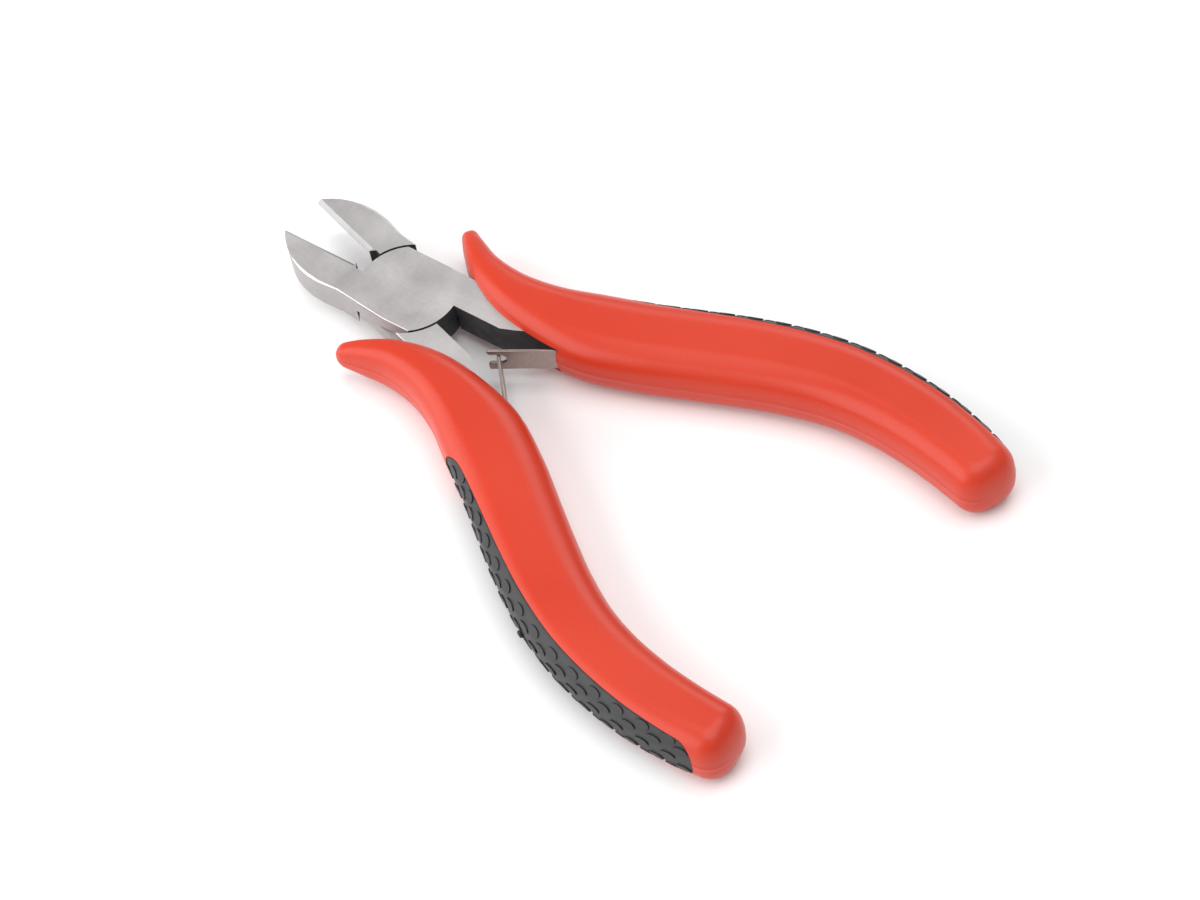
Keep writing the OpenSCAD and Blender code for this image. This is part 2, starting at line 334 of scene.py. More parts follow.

# %% [markdown]
# ## Steel finishes
# The flat faces of the head are ground on a belt: light grey, satin, with a fine woven-looking grain of
# crossing scratches. Two noises, each stretched along one direction, make that grain, and the same noises
# vary the gloss. The jaw's outer walls are ground too, but coarser and darker. The walls inside the notch
# are a plain dark charcoal grey. The bevel above the cutting edge is the last thing ground. Its grey is
# painted shade, darker than the faces', because it leans into the light.

# %% Steel materials
def ground_metal(name, dark, light, rough, grain_depth, turn=0.3):
    recipe = Recipe(name, Metallic=1.0)
    lengthwise = recipe.noise(1100, 3, stretch=(0.7, 3, 1), turn=turn)
    crosswise = recipe.noise(1100, 3, stretch=(3, 0.7, 1), turn=turn)
    clouds = recipe.noise(160, 3)
    weave = recipe.math("ADD", lengthwise, crosswise)
    shade = recipe.math("ADD", weave, clouds)
    paint = recipe.tint(recipe.between(shade, 0, 1, 1.1, 1.9), dark, light)
    gloss = recipe.between(clouds, rough * 0.85, rough * 1.15)
    relief = recipe.bump(weave, grain_depth)
    return recipe.finish(Base_Color=paint, Roughness=gloss, Normal=relief)


ground_steel = ground_metal("ground_steel", colour(195, 191, 190), colour(206, 203, 202), 0.42, 1.6e-6)
wall_steel = ground_metal("wall_steel", colour(170, 166, 166), colour(184, 181, 180), 0.5, 2.4e-6, turn=1.4)
# Painted shade: the cutting bevel's steel is a darker grey than the faces' because it leans into the light.
bright_steel = ground_metal("bright_steel", colour(152, 151, 151), colour(162, 161, 161), 0.42, 0.8e-6)
buffed_steel = ground_metal("buffed_steel", colour(206, 204, 203), colour(216, 214, 213), 0.38, 1.0e-6)
rivet_steel = ground_metal(
    "rivet_steel", colour(160, 158, 157), colour(180, 178, 177), 0.36, 1.5e-6, turn=0.9)
spring_steel = ground_metal(
    "spring_steel", colour(163, 147, 141), colour(178, 162, 156), 0.34, 1.2e-6, turn=0.6)

# The walls inside the notch: a plain dark charcoal grey with faint blotches and grain.
notch_recipe = Recipe("forged_skin", Metallic=0.35)
notch_grain = notch_recipe.noise(900, 4)
blotch = notch_recipe.noise(260, 3)
forged_skin = notch_recipe.finish(
    Base_Color=notch_recipe.tint(notch_recipe.between(blotch, 0, 1), colour(52, 50, 54), colour(72, 70, 73)),
    Roughness=notch_recipe.between(notch_grain, 0.5, 0.7),
    Normal=notch_recipe.bump(notch_grain, 1.2e-5),
)

# %% [markdown]
# ## The steel halves
# Each half is one forging: jaw, half of the lapped disc, and a tang that runs down inside the grip. The CAD
# solid has exact faces but perfectly sharp edges. A copy of it is merged and its flat faces are made whole.
# Then its outer rim is rounded the way a belt grinder does it: a long cutter with a hollow quarter-round runs
# along the rim and takes the corner off. The rounding is broad on the front of the jaw, where the hand meets
# it, and gets narrow towards the joint.

# %% Grind the rims
EDGE_ROOT = 9.6
SHOULDER_R = 8.1
RIM_STEPS = 7
RIM_BAR = 0.7
OVERCUT = 1.02
JAW_RIM = [
    # x, y, radius of the rounding
    (23.1, 0.0, 0.1),
    (22.3, 1.48, 0.2),
    (21.4, 2.6, 0.4),
    (20.3, 3.58, 0.7),
    (19.0, 4.4, 0.85),
    (17.3, 5.07, 0.8),
    (15.0, 5.56, 0.65),
    (12.5, 5.68, 0.4),
    (9.0, 5.42, 0.24),
    (5.0, 5.83, 0.18),
    (0, 6.26, 0.15),
    (-6.5, 6.26, 0.15),
]
TANG_RIM = [(-3.5, -6.26, 0.2), (-9, -6.26, 0.2), (-14, -8.11, 0.2), (-20, -9.01, 0.2), (-26, -10.5, 0.2)]


def clean_copy(node, name):
    """A copy of a CAD node with its corners merged and its flat faces made whole."""
    mesh = frame["nodes"][node].data.copy()
    mesh.name = name
    mesh.materials.clear()
    bm = bmesh.new()
    bm.from_mesh(mesh)
    bmesh.ops.remove_doubles(bm, verts=bm.verts, dist=2e-7)
    bmesh.ops.dissolve_limit(bm, angle_limit=math.radians(0.4), verts=bm.verts, edges=bm.edges)
    bmesh.ops.recalc_face_normals(bm, faces=bm.faces)
    bm.to_mesh(mesh)
    bm.free()
    for layer in ("UVMap", "custom_normal"):
        if layer in mesh.attributes:
            mesh.attributes.remove(mesh.attributes[layer])
    return new_object(name, mesh)


def rim_cutter(side, path, face_z, up):
    """A bar along a rim whose inner corner is a hollow quarter-round. up is 1 at the top face, -1 below."""
    path = [Vector(row) for row in path]
    fine = [a.lerp(b, t) for a, b in zip(path, path[1:]) for t in (0, 0.25, 0.5, 0.75)] + [path[-1]]
    points, faces = [], []
    for k, (x, y, radius) in enumerate(fine):
        ahead = (fine[min(k + 1, len(fine) - 1)] - fine[max(k - 1, 0)]).xy.normalized()
        out = Vector((ahead.y, -ahead.x)) * (1 if path[0].x > 0 else -1)
        section = [(RIM_BAR, RIM_BAR), (-radius, RIM_BAR)]
        for i in range(RIM_STEPS + 1):
            a = math.pi / 2 * i / RIM_STEPS
            wide, high = (OVERCUT * radius * f(a) - radius for f in (math.sin, math.cos))
            section.append((wide, high))
        section.append((RIM_BAR, -radius))
        for wide, high in section:
            place = Vector((x + out.x * wide, y + out.y * wide, face_z + up * high))
            points.append(OPEN[side] @ place)
    ring = RIM_STEPS + 4
    for k in range(len(fine) - 1):
        for i in range(ring):
            j = (i + 1) % ring
            faces.append((k * ring + i, k * ring + j, (k + 1) * ring + j, (k + 1) * ring + i))
    faces += [tuple(range(ring)), tuple(range(len(points) - ring, len(points)))]
    return new_object("rim_cutter", mesh_from("rim_cutter", points, faces))


halves = {}
for side in "ab":
    half = clean_copy(f"jaw_half_{side}", f"steel_half_{side}")
    for path in (JAW_RIM, TANG_RIM):
        cut(half, rim_cutter(side, path, STEEL_TOP, 1))
        cut(half, rim_cutter(side, path, STEEL_BOTTOM, -1))
    halves[side] = half
    print(count(half))

# %% [markdown]
# Finishes go on face by face. In the closed drawing of half A the jaw is on the +Y side, so a wall's side is
# simply the sign of its normal. The buffed band in front of the shoulder is cut into half B's flat face
# first, with one straight cut through its top faces.

# %% Put the finishes on the halves
FINISHES = [ground_steel, wall_steel, bright_steel, buffed_steel, forged_skin]
GROUND, WALL, BEVEL_SHADE, BUFFED, NOTCH_GREY = range(len(FINISHES))
# The rear border of the buffed band: a point on it, and the slope of its normal.
BUFF_X, BUFF_Y, BUFF_SLOPE = 10.4, 1, 0.12


def cut_faces(obj, side, point, normal):
    """Cuts the flat top faces of a half along a straight line, given in the closed drawing."""
    bm = bmesh.new()
    bm.from_mesh(obj.data)
    top = [f for f in bm.faces if abs((CLOSED[side] @ f.calc_center_median()).z - STEEL_TOP) < 0.01]
    parts = set(top) | {e for f in top for e in f.edges} | {v for f in top for v in f.verts}
    place = OPEN[side] @ Vector((*point, 0))
    across = (OPEN[side].to_3x3() @ Vector((*normal, 0))).normalized()
    bmesh.ops.bisect_plane(bm, geom=list(parts), plane_co=place, plane_no=across)
    bm.to_mesh(obj.data)
    bm.free()


def finish_of(side, centre, normal):
    """Which finish a face takes, from its centre and normal in the closed drawing."""
    if abs(normal.z) > 0.97:
        at_face = abs(centre.z - STEEL_TOP) < 0.02 or abs(centre.z - STEEL_BOTTOM) < 0.02
        if not at_face:
            return WALL
        radius = math.hypot(centre.x, centre.y)
        line = BUFF_X - BUFF_SLOPE * (centre.y - BUFF_Y)
        if side == "b" and centre.z > MID_Z and centre.y > 0 and SHOULDER_R < radius and centre.x < line:
            return BUFFED
        return GROUND
    # The cutting bevel: steel with painted shade on its upper part, wall steel below.
    if centre.x > EDGE_ROOT - 0.05 and abs(centre.y) < 3 and normal.y < -0.3:
        return BEVEL_SHADE if centre.z > STEEL_TOP - 0.8 else WALL
    if abs(normal.z) > 0.15:
        return GROUND
    if centre.x > 0 and normal.y > 0.02 and centre.y > 2.5:
        return WALL
    if normal.y < -0.3 and centre.y < -5.5:
        return WALL
    # Everything else, the walls inside the notch, takes the dark charcoal grey.
    return NOTCH_GREY


for side, half in halves.items():
    if side == "b":
        cut_faces(half, side, (BUFF_X, BUFF_Y), (1, BUFF_SLOPE))
    for finish in FINISHES:
        half.data.materials.append(finish)
    turn = CLOSED[side].to_3x3()
    for face in half.data.polygons:
        centre = CLOSED[side] @ face.center
        face.material_index = finish_of(side, centre, (turn @ face.normal).normalized())
    smooth(half, 32)
    keep_flat(half)
    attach(half, f"half_{side}")
    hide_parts(f"jaw_half_{side}")
    print(count(half))

# %% [markdown]
# ## Turned parts
# The rivets are turned parts, so each is a half-outline spun round an axis: a list of radius and height. The
# pivot rivet is countersunk and ground flush, so only the fine ring round its head shows, on the underside.

# %% Lathe and the pivot rivet
def lathe(name, outline, sides):
    """A closed turned mesh on the Z axis, from (radius, height) pairs."""
    points, faces = [], []
    for radius, height in outline:
        for k in range(sides):
            angle = 2 * math.pi * k / sides
            points.append((radius * math.cos(angle), radius * math.sin(angle), height))
    for ring in range(len(outline) - 1):
        for k in range(sides):
            after = (k + 1) % sides
            low, high = ring * sides, (ring + 1) * sides
            faces.append((low + k, low + after, high + after, high + k))
    return mesh_from(name, points, faces)


RIVET_R, RIVET_HEAD_R, RIVET_HEAD_H, RING = 2.5, 3.6, 1.1, 0.09
rivet_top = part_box("pivot_rivet")[1].z / MM
pivot_mesh = lathe("pivot_rivet_pin", [
    (0, STEEL_BOTTOM),
    (RIVET_HEAD_R - 2 * RING, STEEL_BOTTOM),
    (RIVET_HEAD_R - RING, STEEL_BOTTOM + RING),
    (RIVET_R, STEEL_BOTTOM + RIVET_HEAD_H),
    (RIVET_R, rivet_top),
    (0, rivet_top),
], 96)
pivot_mesh.transform(to_metres)
pivot_mesh.materials.append(rivet_steel)
pivot_rivet = new_object("pivot_rivet_pin", pivot_mesh)
smooth(pivot_rivet)
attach(pivot_rivet, "half_a")
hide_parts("pivot_rivet")
print(count(pivot_rivet))

# %% [markdown]
# ## Leaf springs
# Each leaf is a strip of spring steel 0.45 mm thick, punched from sheet. Leaf A ends in a fork with a round
# slot, and leaf B in a tongue with a small cross-head that hooks behind it. The strip is drawn flat as an
# outline, sliced across into narrow bands, given its thickness with Solidify, and its punched edges are
# rounded with Bevel. Its foot is riveted to the tang at the back.

# %% Strips with a fork and a tongue
LEAF_THICK, LEAF_HALF, FOOT = 0.45, 2.1, 6.0
SLOT_Z, SLOT_R = 0.35, 0.95
FORK_TIP, SLOT_CENTRE, FLARE = 15.4, 13.55, 0.35
NECK_START, NECK_END, NECK_HALF = 12.95, 14.35, 0.75
NECK_CORNER = 0.3
HEAD_HALF, TONGUE_TIP = 1.05, 14.65
SLICES, SLICE_STEP, FIRST_SLICE = 32, 0.4, -4.5
LEAF_TURN = {"a": math.radians(38.8), "b": math.radians(-38.8)}


def arc(x, z, radius, start, end, steps=8):
    turns = [math.radians(start + (end - start) * k / steps) for k in range(steps + 1)]
    return [(x + radius * math.cos(a), z + radius * math.sin(a)) for a in turns]


foot_corner = 0.8
foot_end = arc(foot_corner - FOOT, LEAF_HALF - foot_corner, foot_corner, 90, 180)
foot_end += arc(foot_corner - FOOT, foot_corner - LEAF_HALF, foot_corner, 180, 270)
prong = 0.14
fork_end = [
    (FORK_TIP - prong, -LEAF_HALF),
    (FORK_TIP, prong - LEAF_HALF),
    (FORK_TIP, SLOT_Z - SLOT_R - FLARE),
    (FORK_TIP - FLARE, SLOT_Z - SLOT_R),
    *arc(SLOT_CENTRE, SLOT_Z, SLOT_R, 270, 90, 14),
    (FORK_TIP - FLARE, SLOT_Z + SLOT_R),
    (FORK_TIP, SLOT_Z + SLOT_R + FLARE),
    (FORK_TIP, LEAF_HALF - prong),
    (FORK_TIP - prong, LEAF_HALF),
]
tongue_end = [
    (NECK_START - NECK_CORNER, -LEAF_HALF),
    (NECK_START, NECK_CORNER - LEAF_HALF),
    (NECK_START, SLOT_Z - NECK_HALF),
    (NECK_END, SLOT_Z - NECK_HALF),
    (NECK_END, SLOT_Z - HEAD_HALF),
    (TONGUE_TIP, SLOT_Z - HEAD_HALF),
    (TONGUE_TIP, SLOT_Z + HEAD_HALF),
    (NECK_END, SLOT_Z + HEAD_HALF),
    (NECK_END, SLOT_Z + NECK_HALF),
    (NECK_START, SLOT_Z + NECK_HALF),
    (NECK_START, LEAF_HALF - NECK_CORNER),
    (NECK_START - NECK_CORNER, LEAF_HALF),
]


def leaf_place(side):
    """From a leaf's own drawing, x along it from its root and z up, to its place in the open tool."""
    joint = next(j for j in frame["joints"] if j["name"] == f"leaf_{side}_bend")
    flip = Matrix.Scale(1 if side == "a" else -1, 4, (0, 1, 0))
    return Matrix.Translation(joint["pos_m"]) @ Matrix.Rotation(LEAF_TURN[side], 4, "Z") @ flip @ to_metres


def leaf_strip(side, end):
    bm = bmesh.new()
    outline = [bm.verts.new((x, 0, z)) for x, z in foot_end + end]
    bm.faces.new(outline)
    for k in range(SLICES):
        everything = bm.verts[:] + bm.edges[:] + bm.faces[:]
        place = (SLICE_STEP * k + FIRST_SLICE, 0, 0)
        bmesh.ops.bisect_plane(bm, geom=everything, plane_co=place, plane_no=(1, 0, 0))
    mesh = bpy.data.meshes.new(f"leaf_strip_{side}")
    bm.to_mesh(mesh)
    bm.free()
    strip = new_object(f"leaf_strip_{side}", mesh)
    thickness = strip.modifiers.new("sheet thickness", "SOLIDIFY")
    thickness.thickness = LEAF_THICK
    thickness.offset = 0
    rounding = strip.modifiers.new("punched edges", "BEVEL")
    rounding.width = 0.07
    rounding.segments = 2
    rounding.limit_method = "ANGLE"
    rounding.angle_limit = math.radians(40)
    bake_modifiers(strip)
    strip.data.transform(leaf_place(side))
    tidy_mesh(strip.data, 1e-7)
    strip.data.materials.append(spring_steel)
    smooth(strip, 50)
    keep_flat(strip)
    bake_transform(strip)
    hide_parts(f"leaf_spring_{side}", f"leaf_foot_{side}")
    print(count(strip))


leaf_strip("a", fork_end)
leaf_strip("b", tongue_end)

# %% [markdown]
# A small round-head rivet holds each leaf's foot against the tang. It is a turned part too, laid on its side
# with its head on the leaf.

# %% Spring rivets
RIVET_AT, RIVET_LONG, SHANK_R = -3.4, 3.2, 0.8
for side in "ab":
    face = LEAF_THICK / 2
    mesh = lathe(f"foot_rivet_{side}", [
        (0, face - RIVET_LONG), (SHANK_R, face - RIVET_LONG), (SHANK_R, face), (1.4, face),
        (1.38, face + 0.16), (1.2, face + 0.34), (0.8, face + 0.45), (0.4, face + 0.49), (0, face + 0.5),
    ], 40)
    across_leaf = Matrix.Translation((RIVET_AT, 0, 0)) @ Matrix.Rotation(math.radians(-90), 4, "X")
    mesh.transform(leaf_place(side) @ across_leaf)
    mesh.materials.append(rivet_steel)
    tidy_mesh(mesh, 1e-7)
    rivet = new_object(f"foot_rivet_{side}", mesh)
    smooth(rivet)
    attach(rivet, f"half_{side}")
    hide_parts(f"spring_rivet_{side}")
    print(count(rivet))

# %% [markdown]
# ## Grip finishes
# The grips are moulded in red plastic with a satin gloss: a faint orange-peel relief from the mould, tiny
# specks in the colour and slow changes in gloss. The inserts are black rubber, greyer in patches where they
# have been handled. The pads are a darker and slightly glossier copy of the rubber of their ground.

# %% Plastic and rubber
red = Recipe("red_grip_plastic", IOR=1.5, Specular_IOR_Level=0.35)
peel = red.noise(1500, 2)
speck = red.noise(4500, 2)
drift = red.noise(45, 2)
red_plastic = red.finish(
    Base_Color=red.tint(red.between(red.math("ADD", drift, speck), 0, 1, 0.75, 1.25),
                        colour(195, 54, 31), colour(202, 59, 35)),
    Roughness=red.between(drift, 0.3, 0.38),
    Normal=red.bump(speck, 1.5e-6, under=red.bump(peel, 6e-6)),
)


def rubber(name, dark, light, rough):
    black = Recipe(name, IOR=1.5)
    skin_grain = black.noise(3800, 3)
    handled = black.noise(120, 3)
    return black.finish(
        Base_Color=black.tint(black.between(handled, 0, 1), dark, light),
        Roughness=black.between(handled, rough, rough + 0.12),
        Normal=black.bump(skin_grain, 8e-6),
    )


ground_rubber = rubber("black_rubber", colour(41, 41, 43), colour(53, 53, 55), 0.5)
# The pads: the same rubber as the ground, in a darker grey and a little glossier.
pad_rubber = rubber("pad_rubber", colour(32, 32, 34), colour(42, 42, 44), 0.42)

# %% [markdown]
# ## The grip's rule
# A grip is one rounded section that follows a curved spine and changes width and thickness as it goes: thin
# at the thumb guard in front, widest where the fingers sit, and slightly narrower at the rounded end. The
# spine is a short table, and a smooth curve through its rows gives the rest. The section is a superellipse,
# squarer than an ellipse, so the top is nearly flat and the shoulders are full.

# %% Spine and section
SPINE = np.array([
    # x, y, half width, half thickness
    (-0.3, -14.0, 1.1, 1.5),
    (-3.4, -11.6, 1.8, 3.0),
    (-8, -8.8, 2.7, 4.2),
    (-14, -7.0, 3.9, 4.8),
    (-20.5, -6.8, 5.0, 5),
    (-27.5, -7.8, 6.2, 5),
    (-35, -10.0, 6.4, 5),
    (-42, -12.6, 6.4, 5),
    (-48.5, -15.0, 6.4, 5),
    (-55.5, -17.2, 6.25, 5),
    (-63, -18.7, 6.0, 5),
    (-70, -19.0, 5.75, 5),
    (-77, -18.4, 5.55, 5),
    (-83, -17.2, 5.3, 5),
    (-88, -15.8, 5.0, 4.95),
    (-92.6, -14.2, 4.6, 4.8),
])
SQUARE = 2.8
REST_FLAT = 0.15
TIP_ROUND, END_ROUND = 0.03, 0.05
SPINE_STEPS = 400


def at_spine(u):
    """The spine's row at u, from 0 at the guard's tip to 1 at the rear end."""
    last = len(SPINE) - 1
    k = min(int(u * last), last - 1)
    t = u * last - k
    a, b, c, d = (SPINE[max(0, min(last, k + i))] for i in (-1, 0, 1, 2))
    square, cube = 2 * a - 5 * b + 4 * c - d, 3 * b - a - 3 * c + d
    return 0.5 * (2 * b + (c - a) * t + square * t ** 2 + cube * t ** 3)


def outward(u):
    """The direction across the spine, towards the hand."""
    step = at_spine(min(u + 0.002, 1)) - at_spine(max(u - 0.002, 0))
    x, y = step[:2] / np.hypot(*step[:2])
    return np.array((-y, x))


def end_scale(u):
    """Rounds the two ends: 0 at an end, 1 past its rounding."""
    back, front = min(1, (1 - u) / END_ROUND), min(1, u / TIP_ROUND)
    return math.sqrt(max(0, 1 - (1 - back) ** 2)) * math.sqrt(max(0, 1 - (1 - front) ** 2))


def curl(value):
    return math.copysign(abs(value) ** (2 / SQUARE), value)


def skin(u, degrees, grow=0.0):
    """A point on a closed grip's skin: 0 degrees is the hand's side, 90 the top. grow moves it outwards."""
    x, y, half_width, half_thick = at_spine(u)
    wide = (half_width + grow) * curl(math.cos(math.radians(degrees)))
    high = (half_thick + REST_FLAT + grow) * curl(math.sin(math.radians(degrees)))
    across = outward(u)
    return Vector((x + across[0] * wide, y + across[1] * wide, MID_Z + high))


LENGTHS = np.cumsum([0] + [
    np.hypot(*(at_spine((k + 1) / SPINE_STEPS) - at_spine(k / SPINE_STEPS))[:2]) for k in range(SPINE_STEPS)
])
print(f"the spine is {LENGTHS[-1]:.1f} mm long")

# %% [markdown]
# ## Lofting with Geometry Nodes
# A shape that follows a rule suits a node tree: change a number and the grip changes. The tree takes a spine
# (points that carry their direction across and their half sizes) and a profile (one closed ring), makes a
# grid with a row for each spine point and a column for each profile point, and moves every grid point to its
# place. Points that end up together are merged, which closes the seam and the two rounded ends.

# %% The loft tree
class GeometryTree(Nodes):
    """A Geometry Nodes tree with named inputs."""

    def __init__(self, name, inputs):
        self.tree = bpy.data.node_groups.new(name, "GeometryNodeTree")
        sockets = self.tree.interface
        sockets.new_socket("Geometry", in_out="INPUT", socket_type="NodeSocketGeometry")
        sockets.new_socket("Geometry", in_out="OUTPUT", socket_type="NodeSocketGeometry")
        self.names = {}
        for label, kind in inputs.items():
            socket = sockets.new_socket(label, in_out="INPUT", socket_type=f"NodeSocket{kind}")
            self.names[label] = socket.identifier
        self.given = self.add("NodeGroupInput").outputs

    def vector(self, operation, *values, **named):
        inputs = {f"_{i}": value for i, value in enumerate(values)}
        return self.add("ShaderNodeVectorMath", {"operation": operation}, **inputs, **named).outputs[0]

    def named(self, name):
        setting = {"data_type": "FLOAT_VECTOR"}
        return self.add("GeometryNodeInputNamedAttribute", setting, Name=name).outputs["Attribute"]

    def at(self, geometry, value, index):
        """The value that a geometry's point of that index has."""
        setting = {"data_type": "FLOAT_VECTOR", "domain": "POINT"}
        node = self.add("GeometryNodeSampleIndex", setting, Geometry=geometry, Value=value, Index=index)
        return node.outputs[0]

    def size(self, geometry):
        return self.add("GeometryNodeAttributeDomainSize", Geometry=geometry).outputs["Point Count"]

    def close(self, geometry, material):
        """The tree's last steps."""
        whole = self.add("GeometryNodeRealizeInstances", Geometry=geometry).outputs[0]
        painted = self.add("GeometryNodeSetMaterial", Geometry=whole, Material=material).outputs[0]
        self.add("NodeGroupOutput", Geometry=painted)

    def make(self, obj, **values):
        """Runs the tree on obj and keeps the result as its plain mesh."""
        modifier = obj.modifiers.new(self.tree.name, "NODES")
        modifier.node_group = self.tree
        for label, value in values.items():
            modifier[self.names[label.replace("_", " ")]] = value
        bake_modifiers(obj)


loft = GeometryTree("loft along a spine", {
    "Profile": "Object", "Seam height": "Float", "Lowest": "Float", "Highest": "Float", "Plastic": "Material",
})
spine_points = loft.given["Geometry"]
profile_points = loft.add("GeometryNodeObjectInfo", Object=loft.given["Profile"]).outputs["Geometry"]
ring_size = loft.size(profile_points)
columns = loft.math("ADD", ring_size, 1)
rows = loft.size(spine_points)
grid = loft.add("GeometryNodeMeshGrid", Vertices_X=rows, Vertices_Y=columns).outputs["Mesh"]
number = loft.add("GeometryNodeInputIndex").outputs[0]
station = loft.math("FLOOR", loft.math("DIVIDE", number, columns))
column = loft.math("MODULO", loft.math("MODULO", number, columns), ring_size)
position = loft.add("GeometryNodeInputPosition").outputs[0]
middle = loft.at(spine_points, position, station)
across = loft.at(spine_points, loft.named("across"), station)
half = loft.at(spine_points, loft.named("half_size"), station)
half = loft.add("ShaderNodeSeparateXYZ", Vector=half).outputs
ring = loft.add("ShaderNodeSeparateXYZ", Vector=loft.at(profile_points, position, column)).outputs
seam = loft.math("MULTIPLY", ring["Z"], loft.given["Seam height"])
wide = loft.math("MULTIPLY_ADD", half["X"], ring["X"], seam)
high = loft.math("MULTIPLY", half["Y"], ring["Y"])
placed = loft.vector("ADD", middle, loft.vector("SCALE", across, Scale=wide))
placed = loft.add("ShaderNodeSeparateXYZ", Vector=placed).outputs
height = loft.add("ShaderNodeClamp", Value=loft.math("ADD", placed["Z"], high),
                  Min=loft.given["Lowest"], Max=loft.given["Highest"]).outputs[0]
placed = loft.add("ShaderNodeCombineXYZ", X=placed["X"], Y=placed["Y"], Z=height).outputs[0]
moved = loft.add("GeometryNodeSetPosition", Geometry=grid, Position=placed).outputs[0]
merged = loft.add("GeometryNodeMergeByDistance", Geometry=moved, Distance=1e-6).outputs[0]
loft.close(merged, loft.given["Plastic"])
print("loft tree:", len(loft.tree.nodes), "nodes")

# %% [markdown]
# The profile is the superellipse with extra points at the middle plane on each side. There the two halves of
# the mould met and left a fine raised line, and the third coordinate of the profile says where it is.

# %% Profile and spine meshes
SEAM = 0.05
SEAM_WIDTHS = ((-0.045, 0), (-0.018, 1), (0.018, 1), (0.045, 0))
STATIONS = 150


def section_ring():
    """(across, up, on the seam) round one section, in shares of its half sizes."""
    ring = []
    for turn in range(0, 360, 6):
        if turn % 180:
            ring.append((turn, (curl(math.cos(math.radians(turn))), curl(math.sin(math.radians(turn))), 0)))
            continue
        side = 1 if turn == 0 else -1
        for up, on_seam in SEAM_WIDTHS:
            ring.append((turn + side * up, (side, up, side * on_seam)))
    return [point for _, point in sorted(ring)]


def spine_mesh(side):
    """The spine's stations in the open tool, closer together at the rounded ends."""
    turn = OPEN[side].to_3x3()
    places, across, half = [], [], []
    for k in range(STATIONS):
        c = math.cos(math.pi * k / (STATIONS - 1))
        u = 0.5 - 0.5 * c * (0.75 + 0.25 * c * c)
        x, y, half_width, half_thick = at_spine(u)
        scale = end_scale(u) * MM
        places.append(OPEN[side] @ Vector((x, y, MID_Z)))
        across.append((turn @ Vector((*outward(u), 0))).normalized())
        half.append((half_width * scale, (half_thick + REST_FLAT) * scale, 0))
    mesh = bpy.data.meshes.new(f"moulded_grip_{side}")
    mesh.from_pydata(places, [(k, k + 1) for k in range(STATIONS - 1)], [])
    for name, rows in (("across", across), ("half_size", half)):
        layer = mesh.attributes.new(name, "FLOAT_VECTOR", "POINT")
        layer.data.foreach_set("vector", np.array(rows, np.float32).ravel())
    return mesh


ring_points = section_ring()
ring_mesh = bpy.data.meshes.new("section")
ring_mesh.from_pydata(ring_points, [(k, (k + 1) % len(ring_points)) for k in range(len(ring_points))], [])
section = new_object("section", ring_mesh)
grips = {}
for side in "ab":
    grips[side] = new_object(f"moulded_grip_{side}", spine_mesh(side))
    loft.make(grips[side], Profile=section, Seam_height=SEAM * MM, Lowest=grip_low.z, Highest=grip_high.z,
              Plastic=red_plastic)
    tidy_mesh(grips[side].data)
    print(count(grips[side]))
bpy.data.objects.remove(section)

# %% [markdown]
# ## Opening the grips
# The moulded body is cut three times: for the steel tang inside it, for the pocket in which the leaf spring
# swings, and for the recess of the rubber insert. The cutters are plain closed solids drawn on the closed
# tool, and the exact solver keeps the cut edges crisp.

# %% Tang room and leaf pocket
def prism(name, side, plan, low, high):
    """A closed block over a plan, placed in the open tool."""
    size = len(plan)
    points = [OPEN[side] @ Vector((x, y, z)) for z in (low, high) for x, y in plan]
    faces = [tuple(range(size)), tuple(range(size, 2 * size))]
    faces += [(k, (k + 1) % size, size + (k + 1) % size, size + k) for k in range(size)]
    return new_object(name, mesh_from(name, points, faces))


def on_leaf(side, along, across):
    """A point on a leaf in the closed drawing, x along it from its root, y across it."""
    point = CLOSED[side] @ leaf_place(side) @ Vector((along, across, 0))
    return (point.x, point.y)


TANG_HALF = 1.6
POCKET_CLEAR = 0.35


def tang_plan(side):
    face = -LEAF_THICK / 2
    return [
        (0, -0.85), (-16, -0.85), (-18.5, -1.8), (-21, -3.0), (-25, -4.4),
        on_leaf(side, -0.5, face), on_leaf(side, -FOOT, face),
        (-41, TANG_HALF - 12.3), (-52, TANG_HALF - 16.2), (-61, TANG_HALF - 18.4), (-69, TANG_HALF - 18.9),
        (-69, -18.9 - TANG_HALF), (-61, -18.4 - TANG_HALF), (-52, -16.2 - TANG_HALF),
        (-40, -14.4), (-28, -11), (-20, -9), (-14, -8.1), (-9, -6.25), (0, -6.25),
    ]


def pocket_plan(side):
    inner = LEAF_THICK / 2 + POCKET_CLEAR
    head = inner + 0.5
    return [
        (-16, -0.85), (-16, 3), (on_leaf(side, 6.6, inner)[0], 3), on_leaf(side, 6.6, inner),
        on_leaf(side, -1.5, inner), on_leaf(side, -2, head), on_leaf(side, -FOOT - 0.3, head),
        on_leaf(side, -FOOT - 0.3, -LEAF_THICK), on_leaf(side, 0, -LEAF_THICK),
        (-25, -4.5), (-21, -3.2), (-18.5, -2),
    ]


for side, grip in grips.items():
    cut(grip, prism("tang_room", side, tang_plan(side), STEEL_BOTTOM, STEEL_TOP))
    cut(grip, prism("leaf_pocket", side, pocket_plan(side), STEEL_BOTTOM + 0.01, STEEL_TOP - 0.01))
    print(count(grip))

# %% [markdown]
# ## Insert and its recess
# The insert is a patch of the grip's own skin, pointed in front and round behind. The same rule draws it
# twice: once a little larger and deep, as the cutter for the recess, and once as the rubber itself, with a
# fine bead along its border. The gap between the two is the thin dark line round the rubber.

# %% Insert patches
INSERT_FROM, INSERT_TO = 0.345, 0.942
END_DEG, MIDDLE_DEG = 38, 56
INSERT_DEEP = 1.3
GAP = 0.05
PATCH_STEPS = 160
MM_PER_DEGREE = 0.113


